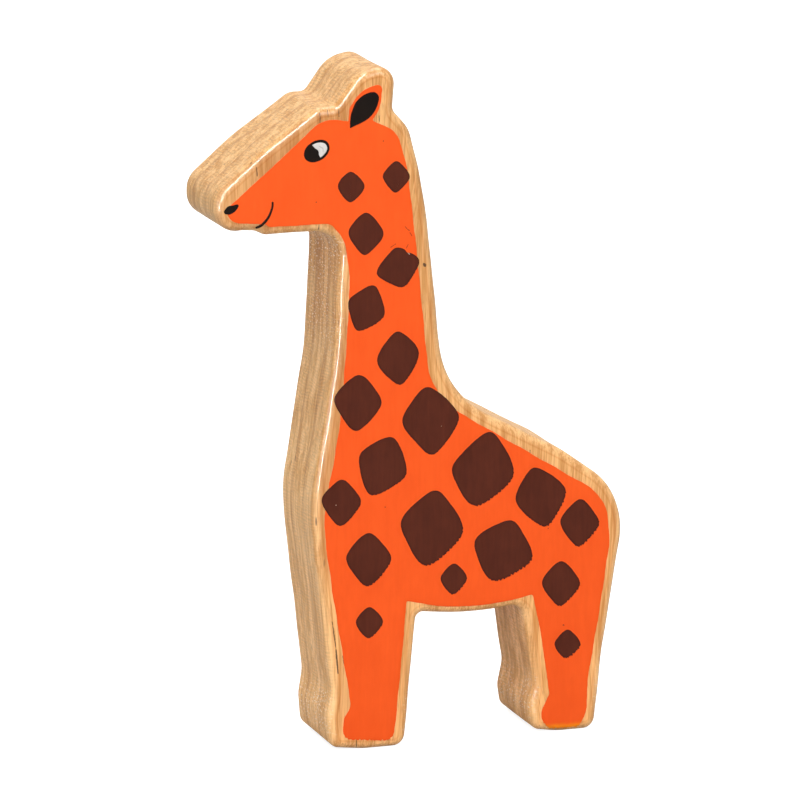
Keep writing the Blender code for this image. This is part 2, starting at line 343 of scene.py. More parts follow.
def makeCrack():
    # A dark mark along the straight line from Start to End, in the plane of the faces, with a
    # ragged edge and pointed ends.
    ends = {label: ("Vector", None) for label in ("Point", "Start", "End")}
    tree, given, result = newGroup("crackMark", {**ends, "Width": ("Float", 0.1)},
                                   {"Mark": ("Float", None)})
    flat = vectorMath(tree, "MULTIPLY", given.outputs["Point"], (1, 0, 1))
    arm = vectorMath(tree, "SUBTRACT", flat, given.outputs["Start"])
    run = vectorMath(tree, "SUBTRACT", given.outputs["End"], given.outputs["Start"])
    reach = vectorMath(tree, "DOT_PRODUCT", arm, run, output="Value")
    whole = vectorMath(tree, "DOT_PRODUCT", run, run, output="Value")
    share = sums(tree, "DIVIDE", reach, whole, clamp=True)          # of the way along the line
    away = vectorMath(tree, "DISTANCE", arm, scaled(tree, run, share), output="Value")
    rough = noise(tree, stretch(tree, given.outputs["Point"], (2.5, 2.5, 1.5)))
    away = sums(tree, "MULTIPLY_ADD", sums(tree, "SUBTRACT", rough, 0.5), 0.25, away)
    taper = sums(tree, "SQRT", times(tree, share, sums(tree, "SUBTRACT", 1.0, share)))
    edge = times(tree, given.outputs["Width"], sums(tree, "MULTIPLY_ADD", taper, 1.4, 0.3))
    mark = addNode(tree, "ShaderNodeMapRange", {"Value": away, "From Min": times(tree, edge, 0.6),
                                                "From Max": sums(tree, "ADD", edge, 0.07),
                                                "To Min": 1.0, "To Max": 0.0})
    tree.links.new(mark.outputs["Result"], result.inputs["Mark"])
    return tree


boardFigure = makeFigure(boardGrain)
crackMark = makeCrack()


def addMarks(tree, point, colour, marks, strength, markColour):
    # Marks drawn over a colour, each (from, to, half width) in millimetres.
    for start, end, halfWidth in marks:
        mark = useGroup(tree, crackMark, Point=point, Start=start, End=end, Width=halfWidth)
        colour = blendColour(tree, times(tree, mark.outputs["Mark"], strength), colour, markColour)
    return colour


def newMaterial(name, **fixed):
    made = bpy.data.materials.new(name)
    made.use_nodes = True
    tree = made.node_tree
    shader = tree.nodes["Principled BSDF"]
    for key, value in fixed.items():
        shader.inputs[key.replace("_", " ")].default_value = value
    return made, tree, shader


def addBump(tree, shader, relief, look):
    bump = addNode(tree, "ShaderNodeBump", {"Height": relief, "Distance": look["bumpDepth"],
                                            "Strength": look["bumpStrength"]})
    tree.links.new(bump.outputs[0], shader.inputs["Normal"])


bareWoodLook = {
    "pale": (0.880, 0.560, 0.262),
    "warm": (0.590, 0.288, 0.088),
    "ring": (0.420, 0.165, 0.050), "ringStrength": 0.55, "hairStrength": 0.65,
    "pore": (0.150, 0.058, 0.022), "poreStrength": 0.8,
    "faceTint": (1.00, 0.87, 0.73),     # oil and paint have soaked into the flat faces
    "crease": (0.86, 0.68, 0.52),       # darker where the round-over meets the face
    "creaseStrength": 0.7,
    "paintedLightByHeight": (1.14, 0.95),           # painted light: the bare wood is painted paler towards the feet and darker towards the head
    # ridges that sanding left across the sawn edge: spacing (mm), wander (mm), tone and relief
    "ridgeSpacing": 0.74, "ridgeWander": 2.2, "ridgeTone": 0.085, "ridgeRelief": 0.26,
    # short dashes along the sawn edge: tone and relief
    "dashTone": 0.60, "dashRelief": 0.9,
    # bands of the sawn edge with painted glints, and painted shade under the jaw, by height (mm):
    # where each fades in, and where it fades out
    "throatFrom": (86.0, 106.0), "throatTo": (121.0, 125.0),
    "throatAlong": (-16.0, -10.0),      # it fades out here along X, before the back of the neck
    "hoofFrom": (2.0, 6.0), "hoofTo": (11.0, 17.0),
    # painted shade under the jaw: a browner tint, and how much darker
    "paintedJawShade": (1.00, 0.88, 0.74), "paintedJawShadeTone": -0.08,
    # painted glints: pale flecks, how strong they are, and where the noise starts to show them
    "paintedGlint": (1.0, 0.88, 0.70), "paintedGlintStrength": 0.85, "paintedGlintFrom": (0.61, 0.67),
    "crack": (0.055, 0.020, 0.010), "crackStrength": 0.9,
    # drying cracks and deep pores in the border of the faces: from, to, half width (mm)
    "cracks": (((-21.9, 0, 31.5), (-21.0, 0, 25.0), 0.11),
               ((-21.0, 0, 25.0), (-20.5, 0, 19.0), 0.20),
               ((-19.3, 0, 23.3), (-18.9, 0, 20.9), 0.20),
               ((-16.1, 0, 3.1), (-15.9, 0, 0.5), 0.07),
               ((-24.5, 0, 151.0), (-24.5, 0, 148.7), 0.06),
               ((-22.6, 0, 151.6), (-22.6, 0, 149.9), 0.05),
               ((-20.0, 0, 151.7), (-20.0, 0, 149.9), 0.06),
               ((-39.7, 0, 139.5), (-39.5, 0, 137.4), 0.10),
               ((-24.8, 0, 125.2), (-24.8, 0, 123.8), 0.07),
               ((0.4, 0, 114.6), (0.8, 0, 113.8), 0.40),
               ((-10.4, 0, 149.7), (-10.3, 0, 148.2), 0.05),
               ((26.5, 0, 68.6), (26.6, 0, 66.9), 0.05)),
    # cells per mm along and across the sawn edge
    "ridgeBend": (0.25, 0.16, 1), "ridgePatches": (0.10, 0.22, 1), "dashCells": (1.9, 0.45, 1),
    "shadeAndGlintPatches": (0.07, 0.16, 1), "glintCells": (1.9, 1.5, 1),
    "roughness": (0.38, 0.60), "shine": 0.24,
    # the coat's weight everywhere, and more on the round-over
    "varnish": 0.20, "varnishOnRound": 0.72, "varnishRoughness": 0.12,
    "bumpDepth": 0.00006, "bumpStrength": 0.8,
}


def makeBareWood(look):
    made, tree, shader = newMaterial("bareWood", Specular_IOR_Level=look["shine"],
                                     Coat_Roughness=look["varnishRoughness"])
    point = inMillimetres(tree)
    figure = useGroup(tree, boardFigure, Point=point, Pores=1.0).outputs
    wall, edge, crease = (attribute(tree, name) for name in ("wall", "edge", "crease"))
    uv = addNode(tree, "ShaderNodeUVMap", uv_map="wallUV").outputs[0]
    # ridges: a wave along the outline, bent a little, that comes and goes in patches
    split = axes(tree, uv)
    bend = noise(tree, stretch(tree, uv, look["ridgeBend"]))
    run = sums(tree, "MULTIPLY_ADD", bend, look["ridgeWander"], split["X"])
    run = sums(tree, "MULTIPLY_ADD", split["Y"], 0.05, run)
    wave = sums(tree, "SINE", times(tree, run, 2 * math.pi / look["ridgeSpacing"]))
    patches = noise(tree, stretch(tree, uv, look["ridgePatches"]), detail=3)
    patch = between(tree, patches, 0.38, 0.62)
    ridges = times(tree, times(tree, wave, patch), wall)
    dashes = noise(tree, stretch(tree, uv, look["dashCells"]), detail=3, rough=0.65)
    # the figure of the board, warmer on the flat faces
    colour = blendColour(tree, figure["Streaks"], look["warm"], look["pale"])
    for label, strength in (("Rings", look["ringStrength"]), ("Hair", look["hairStrength"])):
        dark = times(tree, figure[label], strength)
        colour = blendColour(tree, dark, colour, look["ring"])
    onFace = sums(tree, "SUBTRACT", 1.0, wall)
    colour = blendColour(tree, onFace, colour, look["faceTint"], "MULTIPLY")
    # painted shade and painted glints: under the jaw the edge is painted darker and browner, and
    # under the jaw and round the feet it carries pale painted glints in patches
    place = axes(tree, point)
    throat = times(tree, between(tree, place["Z"], *look["throatFrom"]),
                   between(tree, place["Z"], *look["throatTo"], 1.0, 0.0))
    throat = times(tree, throat, between(tree, place["X"], *look["throatAlong"], 1.0, 0.0))
    hoof = times(tree, between(tree, place["Z"], *look["hoofFrom"]),
                 between(tree, place["Z"], *look["hoofTo"], 1.0, 0.0))
    # patches where the painted shade and painted glints show
    cover = between(tree, noise(tree, stretch(tree, uv, look["shadeAndGlintPatches"])), 0.30, 0.48)
    shadeAndGlintPatch = times(tree, times(tree, sums(tree, "ADD", throat, hoof), wall), cover)
    paintedJawShade = times(tree, throat, shadeAndGlintPatch)
    # tone: painted light by height, the ridges and dashes of the sawn edge, and painted shade under
    # the jaw
    tone = between(tree, place["Z"], 0.0, 115.0, *look["paintedLightByHeight"])
    tone = sums(tree, "MULTIPLY_ADD", ridges, look["ridgeTone"], tone)
    dash = times(tree, sums(tree, "SUBTRACT", dashes, 0.5), wall)
    tone = sums(tree, "MULTIPLY_ADD", dash, look["dashTone"], tone)
    tone = sums(tree, "MULTIPLY_ADD", paintedJawShade, look["paintedJawShadeTone"], tone)
    grey = addNode(tree, "ShaderNodeCombineColor", {0: tone, 1: tone, 2: tone}).outputs[0]
    colour = blendColour(tree, 1.0, colour, grey, "MULTIPLY")
    colour = blendColour(tree, paintedJawShade, colour, look["paintedJawShade"], "MULTIPLY")
    creases = times(tree, crease, look["creaseStrength"])
    colour = blendColour(tree, creases, colour, look["crease"], "MULTIPLY")
    pores = times(tree, figure["Pores"], look["poreStrength"])
    colour = blendColour(tree, pores, colour, look["pore"])
    colour = addMarks(tree, point, colour, look["cracks"], look["crackStrength"], look["crack"])
    # painted glints: pale flecks in the patches under the jaw and round the feet
    glintNoise = noise(tree, stretch(tree, uv, look["glintCells"]), detail=1)
    paintedGlints = times(tree, between(tree, glintNoise, *look["paintedGlintFrom"]), shadeAndGlintPatch)
    colour = blendColour(tree, times(tree, paintedGlints, look["paintedGlintStrength"]), colour, look["paintedGlint"])
    tree.links.new(colour, shader.inputs["Base Color"])
    rough = between(tree, dashes, 0.2, 0.8, *look["roughness"])
    tree.links.new(rough, shader.inputs["Roughness"])
    varnish = sums(tree, "MULTIPLY_ADD", edge, look["varnishOnRound"], look["varnish"], clamp=True)
    tree.links.new(varnish, shader.inputs["Coat Weight"])
    relief = sums(tree, "MULTIPLY_ADD", ridges, look["ridgeRelief"], figure["Height"])
    relief = sums(tree, "MULTIPLY_ADD", times(tree, dashes, wall), look["dashRelief"], relief)
    addBump(tree, shader, relief, look)
    return made


paintFinish = {                 # shared by all the paints
    "mottleCells": (0.16, 0.16, 0.11), "brushCells": (1.1, 1.1, 0.14),      # per mm
    "speckShare": (0.80, 0.84),     # cells with a speck of dirt: above this share of the dice
    "speckStrength": 0.75,
    "markStrength": 0.85,
    "bumpDepth": 0.00003, "bumpStrength": 0.6,
}


def makePaint(name, look):
    made, tree, shader = newMaterial(name, Roughness=look["roughness"],
                                     Specular_IOR_Level=look["shine"])
    point = inMillimetres(tree)
    figure = useGroup(tree, boardFigure, Point=point, Pores=0.0).outputs
    mottle = noise(tree, stretch(tree, point, paintFinish["mottleCells"]), detail=4, rough=0.6)
    brush = noise(tree, stretch(tree, point, paintFinish["brushCells"]), detail=3, rough=0.6)
    amount = sums(tree, "MULTIPLY_ADD", brush, 0.4, times(tree, mottle, 0.6))
    colour = blendColour(tree, between(tree, amount, 0.3, 0.7), look["deep"], look["full"])
    # the fibres of the board show through, and the paint is darker along its rim
    grain = times(tree, sums(tree, "SUBTRACT", 1.0, figure["Streaks"]), look["grain"])
    colour = blendColour(tree, grain, colour, look["deep"])
    rim = times(tree, attribute(tree, "rim"), look["rim"])
    colour = blendColour(tree, rim, colour, look["dark"])
    size = look["speckSize"] / look["speckSpacing"]
    specks = cellSpots(tree, point, 1 / look["speckSpacing"], 1, paintFinish["speckShare"],
                       (size * 0.5, size))
    specks = times(tree, specks, paintFinish["speckStrength"])
    colour = blendColour(tree, specks, colour, look["speck"])
    if "marks" in look:
        colour = addMarks(tree, point, colour, look["marks"], paintFinish["markStrength"],
                          look["mark"])
    if "thin" in look:          # brushed out thin and yellower just above the hind sole
        place = axes(tree, point)
        uneven = sums(tree, "MULTIPLY_ADD", mottle, 2.0, place["Z"])
        low = between(tree, uneven, *look["thinBelow"], 1.0, 0.0)
        low = times(tree, low, between(tree, place["X"], *look["thinBehind"]))
        colour = blendColour(tree, low, colour, look["thin"])
    tree.links.new(colour, shader.inputs["Base Color"])
    relief = sums(tree, "MULTIPLY_ADD", figure["Height"], 0.5, times(tree, brush, 0.6))
    addBump(tree, shader, relief, paintFinish)
    return made


bareWood = makeBareWood(bareWoodLook)
orangePaint = makePaint("orangePaint", {
    "full": (0.900, 0.104, 0.0125), "deep": (0.830, 0.088, 0.0095), "dark": (0.66, 0.055, 0.004),
    "thin": (0.95, 0.26, 0.006), "thinBelow": (2.2, 3.6), "thinBehind": (25.0, 30.0),   # mm
    "grain": 0.35, "rim": 0.35, "roughness": 0.46, "shine": 0.14,
    "speck": (0.33, 0.035, 0.010), "speckSpacing": 7.0, "speckSize": 0.28,
    # wrinkles and specks of dirt caught in the coat: from, to, half width (mm)
    "mark": (0.22, 0.022, 0.008),
    "marks": (((-4.2, 0, 123.6), (-3.7, 0, 122.9), 0.06),
              ((-3.7, 0, 122.9), (-3.1, 0, 122.5), 0.05),
              ((-3.0, 0, 122.0), (-2.5, 0, 121.2), 0.06),
              ((-3.4, 0, 119.3), (-3.9, 0, 118.4), 0.06),
              ((-25.6, 0, 130.5), (-25.4, 0, 130.5), 0.14),
              ((-9.5, 0, 143.7), (-9.3, 0, 143.7), 0.13),
              ((-9.1, 0, 57.8), (-8.9, 0, 57.8), 0.14), ((31.0, 0, 49.6), (31.1, 0, 49.5), 0.15),
              ((34.8, 0, 26.0), (35.1, 0, 25.9), 0.20),
              ((-7.6, 0, 118.9), (-6.4, 0, 119.6), 0.05))})
brownPaint = makePaint("brownPaint", {
    "full": (0.104, 0.0240, 0.0125), "deep": (0.074, 0.0170, 0.0095), "dark": (0.030, 0.008, 0.006),
    "grain": 0.25, "rim": 0.90, "roughness": 0.50, "shine": 0.06,
    "speck": (0.30, 0.14, 0.09), "speckSpacing": 4.0, "speckSize": 0.10,
    # pale wood where a flake is missing, and two pale specks
    "mark": (0.80, 0.50, 0.38),
    "marks": (((-3.75, 0, 118.1), (-3.45, 0, 117.3), 0.13),
              ((-3.45, 0, 117.3), (-3.1, 0, 117.0), 0.09),
              ((-21.0, 0, 59.2), (-20.9, 0, 59.2), 0.07), ((4.6, 0, 76.0), (4.7, 0, 76.0), 0.06))})
blackPaint = makePaint("blackPaint", {
    "full": (0.0135, 0.0085, 0.0065), "deep": (0.0090, 0.0060, 0.0050),
    "dark": (0.004, 0.003, 0.002), "grain": 0.2, "rim": 0.3, "roughness": 0.50, "shine": 0.06,
    "speck": (0.08, 0.07, 0.06), "speckSpacing": 3.0, "speckSize": 0.08})
whitePaint = makePaint("whitePaint", {
    "full": (0.770, 0.735, 0.705), "deep": (0.600, 0.570, 0.550), "dark": (0.30, 0.27, 0.25),
    "grain": 0.3, "rim": 0.35, "roughness": 0.45, "shine": 0.2,
    "speck": (0.45, 0.42, 0.40), "speckSpacing": 2.0, "speckSize": 0.10,
    # a grey brush stroke across the white of the eye
    "mark": (0.42, 0.40, 0.38),
    "marks": (((-24.9, 0, 143.5), (-23.9, 0, 142.9), 0.09),
              ((-23.9, 0, 142.9), (-23.9, 0, 142.1), 0.07))})
print("materials made")


board = {
    "thickness": 25.0,
    "roundOver": 2.0,           # quarter round on every edge of the two faces
    "roundRings": 9,
    "outlineStep": 0.45,
    "wallStep": 1.0,
    "sandingWave": 0.05,        # how far hand sanding leaves the edge from true
    # and the waves that make it up: size, radians per mm along X, Y and Z, and start
    "sandingWaves": ((1.0, 0.0, 0.10, 0.31, 0.6), (0.6, -0.17, 0.26, 0.53, 0.0),
                     (0.5, 0.42, -0.33, 0.0, 2.0)),
    "levelFeet": 4.0,           # height over which the waves fade in, so the soles stay flat
    "rim": 0.3,                 # flat ring between the round-over and the cap of each face
    "creaseWidth": 0.15,
    # corners of the sawn outline: x, z, radius. From the front toe up the chest, over the head,
    # down the back and round both legs
    "corners": (
        (-22.1, 1.0, 2.6), (-22.9, 8.4, 8.0), (-21.8, 14.5, 10.0), (-26.8, 57.8, 50.0),
        (-20.9, 93.5, 100.0), (-19.4, 123.5, 5.8), (-37.4, 123.4, 2.6), (-39.8, 124.6, 2.6),
        (-42.8, 124.8, 6.0), (-49.35, 124.3, 5.2), (-49.35, 133.4, 6.0), (-38.3, 142.7, 60.0),
        (-24.7, 152.1, 4.3), (-20.9, 152.1, 2.2), (-15.2, 159.7, 8.0), (-5.7, 161.5, 4.0),
        (-6.8, 150.5, 2.4), (-2.7, 145.9, 7.5), (-0.2, 136.2, 40.0), (1.8, 123.5, 60.0),
        (5.8, 84.6, 21.0), (16.5, 77.7, 40.0), (34.2, 68.1, 25.0), (49.55, 57.4, 17.0),
        (49.5, 46.0, 20.0), (45.3, 20.0, 40.0), (43.1, 0.0, 3.0), (34.0, 0.0, 20.0),
        (27.6, 1.0, 2.6), (26.8, 6.4, 6.0), (27.95, 12.4, 8.0), (25.1, 31.8, 3.2),
        (13.5, 30.3, 60.0), (-1.0, 31.9, 1.8), (-4.0, 0.0, 3.0), (-14.0, 0.0, 20.0)),
}

halfBoard = board["thickness"] / 2
boardOutline = outlineOf(board["corners"], board["outlineStep"])
boardNormals = outwards(boardOutline)


def makeBoard(plan):
    # The profile runs from the left face over its quarter round, straight across the edge and over
    # the other quarter round: inset = r(1 - sin a) and depth = r(1 - cos a) on the rounds.
    r = plan["roundOver"]
    full = r + plan["rim"]
    a = np.linspace(0, np.pi / 2, plan["roundRings"])
    inset = np.concatenate([[full], r * (1 - np.sin(a))])
    depth = np.concatenate([[0], r * (1 - np.cos(a))]) - halfBoard
    wallDepth = np.linspace(-halfBoard + r, halfBoard - r,
                            round((plan["thickness"] - 2 * r) / plan["wallStep"]) + 1)[1:-1]
    inset = np.concatenate([inset, 0 * wallDepth, inset[::-1]])
    depth = np.concatenate([depth, wallDepth, -depth[::-1]])
    x, z = boardOutline[:, 0], boardOutline[:, 1]
    y = depth[:, None]
    wave = sum(size * np.sin(byX * x + byY * y + byZ * z + start)
               for size, byX, byY, byZ, start in plan["sandingWaves"])
    # the waves are felt on the edge only, so the feet stay level and the faces flat
    fade = (1 - inset[:, None] / full) * np.clip(z / plan["levelFeet"], 0, 1)
    off = plan["sandingWave"] * wave * fade
    shift = off - inset[:, None]
    rings = np.stack([x + boardNormals[:, 0] * shift, y + 0 * x,
                      z + boardNormals[:, 1] * shift], -1)
    share = inset / r
    onWall = 1 - np.clip(share, 0, 1) ** 0.5
    onEdge = np.clip(4 * share * (1 - np.clip(share, 0, 1)) + 0.3 * (inset > 0.001), 0, 1)
    crease = np.exp(-((inset - r) / plan["creaseWidth"]) ** 2)
    return closedSurface("giraffeBoard", rings, {"wall": onWall, "edge": onEdge, "crease": crease},
                         (lengthAlong(boardOutline), depth))


putOn(makeBoard(board), "wood_body", bareWood)
print("board made")


paint = {
    "film": 0.09,               # thickness of one coat
    "sink": 0.05,               # how far its underside sits in the wood
    "softEdge": 1.0,            # width over which the mesh follows the paint's edge
    "wobbleReach": 0.5,         # how far in from the edge its wobble fades out
    "settle": 0.15,             # width over which it steps down from another coat to the wood
    "rimWidth": 0.20,           # of the darker rim
    "wrapLimit": 0.05,          # closest a film gets to the widest part of the board
    # the section of a painted edge: how far in, as a share of the soft edge, and how high, as a
    # share of the film
    "edgeIn": (0, 0, 0.01, 0.03, 0.07, 0.13, 0.22, 0.36, 0.60, 1.0),
    "edgeUp": (0, 0.15, 0.50, 0.78, 0.93, 1.0, 1.04, 1.02, 1.0, 1.0),
    # where a flake of a painted edge is missing: x, z, reach and depth
    "chips": ((-3.7, 117.4, 0.45, 0.55), (12.0, 56.0, 0.5, 0.3), (36.6, 44.6, 0.4, 0.3)),
    # lengths of the waves in a brushed edge: slow, quick, and (length, size) of the ragged ones
    "slowWave": 9.0, "quickWave": 2.6, "raggedWaves": ((1.1, 1), (0.8, 0.8), (0.55, 0.7)),
}


def insideOf(points, outline, normals):
    # Distance inside an outline: from the nearest outline point, measured along its normal.
    flat = points.reshape(-1, 2)
    nearest = np.concatenate([((block[:, None] - outline) ** 2).sum(-1).argmin(1)
                              for block in np.array_split(flat, max(1, len(flat) // 500))])
    return ((outline[nearest] - flat) * normals[nearest]).sum(-1).reshape(points.shape[:-1])


def dropAt(inside):
    # How far the quarter round has fallen away from the flat face this far in from the outline.
    r = board["roundOver"]
    left = np.clip(r - np.clip(inside, paint["wrapLimit"], r), 0, r)
    return r - np.sqrt(r * r - left * left)


def startOf(flat, layer, under):
    # The height a film starts from: on the coats below it, or, where it runs past the outline of
    # the coat under it, on bare wood.
    base = (layer - 1) * paint["film"] + 0 * flat[..., 0]
    if under is not None:
        base = base * np.clip(insideOf(flat, *under) / paint["settle"] + 0.5, 0, 1)
    return base


def layOn(name, side, flat, height, rim, finish, cadNode):
    # Rings drawn flat, at a height over the board, follow its quarter round where they pass it.
    depth = halfBoard + height - dropAt(insideOf(flat, boardOutline, boardNormals))
    rings = np.stack([flat[..., 0], side * depth, flat[..., 1]], -1)
    return putOn(closedSurface(name, rings, {"rim": rim}), cadNode, finish)


def paintFilm(name, side, outline, layer, finish, cadNode, ragged, soft=None, under=None):
    # A thin closed skin: the section of a painted edge carried round the outline, layer films up.
    inwards = np.array(paint["edgeIn"]) * (paint["softEdge"] if soft is None else soft)
    normals = outwards(outline)
    length = lengthAlong(outline)
    wobble = ragged(length[:-1], length[-1], normals, outline)
    for x, z, reach, deep in paint["chips"]:
        wobble = wobble - deep * np.exp(-((outline - (x, z)) ** 2).sum(1) / (2 * reach * reach))
    fade = np.clip(1 - inwards / paint["wobbleReach"], 0, 1)[:, None]
    shift = wobble * fade - inwards[:, None]
    flat = outline + normals * shift[..., None]
    height = startOf(flat, layer, under) + np.array(paint["edgeUp"])[:, None] * paint["film"]
    height[0] = -paint["sink"]
    rim = np.exp(-inwards / paint["rimWidth"])
    return layOn(name, side, flat, height, rim, finish, cadNode)


def brushed(name, fine, coarse, raggedSize=0.0, towards=(0.5, -0.86), reach=0.0):
    # The edge a brush leaves: a slow wander, a fine one, and a ragged stretch where the edge faces
    # the way the brush was drawn, up to twice the height reach when one is given.
    seed = zlib.crc32(name.encode())

    def edge(along, whole, normals, outline):
        slow = max(2, round(whole / paint["slowWave"]))
        quick = max(5, round(whole / paint["quickWave"]))
        total = wander(along, whole, seed, [(slow, coarse), (slow + 2, coarse * 0.6),
                                            (quick, fine), (quick * 2 + 1, fine * 0.6)])
        if raggedSize:
            facing = np.clip(normals @ np.array(towards), 0, 1) ** 1.5
            if reach:
                facing = facing * np.clip(2 - outline[:, 1] / reach, 0, 1)
            rough = wander(along, whole, seed + 1, [(round(whole / length), size)
                                                    for length, size in paint["raggedWaves"]])
            total = total + raggedSize * facing * rough
        return total

    return edge


coat = {
    "step": 0.4,
    # its brushed edge: fine and slow wobble, how ragged, facing which way, and below what height
    "brush": (0.02, 0.05, 0.11, (0.0, -1.0), 4.0),
    # corners of the orange coat: x, z, radius, from the front toe in the order of the board's
    "corners": (
        (-19.4, 3.0, 2.6), (-19.2, 8.1, 2.2), (-17.3, 10.8, 2.7), (-21.7, 37.7, 60.0),
        (-24.2, 55.7, 40.0), (-19.8, 77.5, 150.0), (-18.1, 99.3, 30.0), (-17.4, 112.5, 40.0),
        (-18.6, 121.2, 10.0), (-22.0, 125.3, 2.3), (-36.9, 125.4, 1.1), (-37.6, 126.2, 0.8),
        (-45.4, 126.8, 3.3), (-47.2, 129.9, 1.7), (-33.8, 141.0, 90.0), (-23.7, 149.8, 7.0),
        (-17.7, 148.7, 0.2), (-17.5, 151.7, 3.0), (-14.9, 155.7, 7.0), (-9.5, 157.1, 1.1),
        (-10.0, 151.3, 8.5), (-12.1, 148.6, 0.4), (-6.2, 145.9, 6.5), (-3.7, 138.0, 40.0),
        (-1.6, 120.2, 160.0), (2.1, 83.2, 17.5), (32.0, 64.5, 60.0), (45.3, 56.2, 11.5),
        (46.5, 45.8, 24.0), (43.9, 28.5, 25.0), (40.9, 11.0, 40.0), (41.0, 4.4, 6.0),
        (38.9, 0.9, 1.0), (31.6, 0.9, 2.6), (29.0, 4.4, 3.5), (31.6, 9.6, 0.9),
        (29.2, 25.6, 90.0), (27.3, 34.0, 0.5), (18.4, 32.2, 60.0), (5.3, 32.7, 40.0),
        (-3.8, 35.0, 0.3), (-4.4, 27.2, 19.0), (-6.4, 6.7, 10.0), (-7.0, 1.8, 2.0),
        (-14.1, 2.4, 5.5)),
}

# the brown spots: front, top, back and bottom corner before softening, how far the sides bow, how
# wide the softening is, and how ragged the brush left it
spots = {
    "cheek": ((-20.7, 134.2), (-17.1, 137.6), (-13.5, 133.3), (-17.5, 129.4), 0.22, 1.02, 0.0),
    "nape": ((-10.0, 135.8), (-6.2, 139.4), (-2.5, 134.9), (-6.6, 131.0), 0.13, 1.06, 0.0),
    "neck_front_top": ((-18.3, 123.3), (-13.5, 127.9), (-8.8, 122.2), (-14.0, 116.8),
                       0.28, 1.23, 0.0),
    "neck_back_top": ((-11.7, 112.8), (-6.5, 119.3), (0.0, 115.5), (-4.6, 108.8), 0.19, 1.33, 0.02),
    "neck_front_mid": ((-18.1, 107.4), (-11.4, 110.7), (-8.7, 102.9), (-15.9, 99.3),
                       0.34, 1.18, 0.02),
    "neck_back_low": ((-11.6, 92.4), (-6.1, 99.8), (-0.2, 93.8), (-5.2, 85.7), 0.36, 1.41, 0.02),
    "neck_front_low": ((-21.8, 84.2), (-15.3, 90.2), (-9.3, 82.6), (-16.1, 75.6), 0.48, 1.42, 0.0),
    "withers": ((-5.5, 77.8), (1.2, 86.3), (9.7, 78.0), (2.6, 68.5), 0.50, 1.66, 0.02),
    "chest": ((-15.7, 71.0), (-6.8, 74.9), (-3.3, 64.8), (-13.0, 60.2), 0.44, 1.54, 0.03),
    "back": ((6.7, 65.9), (16.9, 74.6), (23.2, 62.9), (12.7, 55.5), 0.64, 1.79, 0.07),
    "breast": ((-25.0, 60.7), (-19.5, 65.9), (-14.2, 59.3), (-20.1, 53.4), 0.24, 1.45, 0.02),
    "loin": ((22.4, 56.7), (27.2, 65.1), (36.0, 58.6), (30.6, 49.3), 0.48, 1.46, 0.07),
    "rump": ((33.6, 51.2), (39.0, 56.5), (44.2, 49.9), (38.4, 44.0), 0.36, 1.12, 0.07),
    "flank": ((-5.9, 54.2), (3.6, 61.7), (10.9, 50.4), (0.6, 42.0), 0.56, 1.97, 0.08),
    "belly_rear": ((12.2, 48.4), (22.3, 52.9), (27.9, 42.3), (16.9, 37.3), 0.50, 1.83, 0.09),
    "shoulder": ((-19.2, 46.7), (-12.9, 52.8), (-6.8, 45.2), (-13.5, 38.4), 0.29, 1.60, 0.05),
    "belly_small": ((4.2, 39.9), (7.9, 43.5), (11.4, 39.1), (7.5, 35.1), 0.27, 1.02, 0.05),
    "thigh": ((29.1, 36.9), (34.3, 42.0), (39.6, 35.7), (33.9, 30.0), 0.33, 1.21, 0.05),
    "foreleg": ((-16.6, 31.2), (-12.8, 34.8), (-9.1, 30.3), (-13.2, 26.3), 0.23, 1.07, 0.03),
    "hind_leg": ((32.5, 21.8), (36.1, 25.2), (39.6, 20.7), (35.4, 17.5), 0.27, 0.85, 0.07),
}

spotBrush = {"fine": 0.012, "slow": 0.045, "ragged": 1.5}     # wobbles, and a factor on how ragged

face = {
    "step": 0.12,
    "ear": ((-17.4, 147.2), (-17.35, 149.0), (-17.0, 150.8), (-16.1, 152.8), (-14.6, 154.3),
            (-12.9, 155.1), (-11.4, 155.05), (-10.5, 154.1), (-10.65, 152.6), (-11.4, 150.9),
            (-12.6, 149.4), (-14.3, 148.4), (-16.1, 147.7), (-17.25, 147.15)),
    # corners: x, z, radius
    "nostril": ((-47.9, 129.2, 0.55), (-46.6, 130.9, 1.5), (-45.3, 131.0, 1.2), (-43.5, 131.4, 0.4),
                (-44.7, 129.6, 3.1), (-46.1, 128.9, 1.2)),
    "eyeCentre": (-25.35, 142.35), "eyeHalf": (3.2, 2.38), "eyeTilt": 26.0,
    # the white of the eye, from its upper tip to its lower one
    "whiteOuter": ((-26.45, 143.80), (-25.5, 144.18), (-24.4, 144.27), (-23.4, 143.92),
                   (-22.9, 143.1), (-22.98, 142.4), (-23.4, 141.7), (-23.9, 141.2),
                   (-24.5, 140.82)),
    "whiteInner": ((-26.42, 143.70), (-25.75, 143.0), (-25.15, 142.55), (-24.9, 142.05),
                   (-24.85, 141.45), (-24.56, 140.88)),
    "smile": ((-35.88, 131.3), (-36.0, 129.9), (-36.7, 128.1), (-37.7, 126.75), (-38.75, 125.85),
              (-39.9, 125.3)),
    "smileWidth": (0.46, 0.74),         # at its top and at its foot
    "strokeRim": 0.15,                  # how dark a single stroke is, as a share of a painted rim
}


def ovalOutline(centre, halves, tilt, count=120):
    # A clockwise ellipse whose long axis leans up by tilt degrees.
    t = -np.linspace(0, 2 * np.pi, count, endpoint=False)
    lean = math.radians(tilt)
    across, up = halves[0] * np.cos(t), halves[1] * np.sin(t)
    return np.stack([centre[0] + across * math.cos(lean) - up * math.sin(lean),
                     centre[1] + across * math.sin(lean) + up * math.cos(lean)], 1)


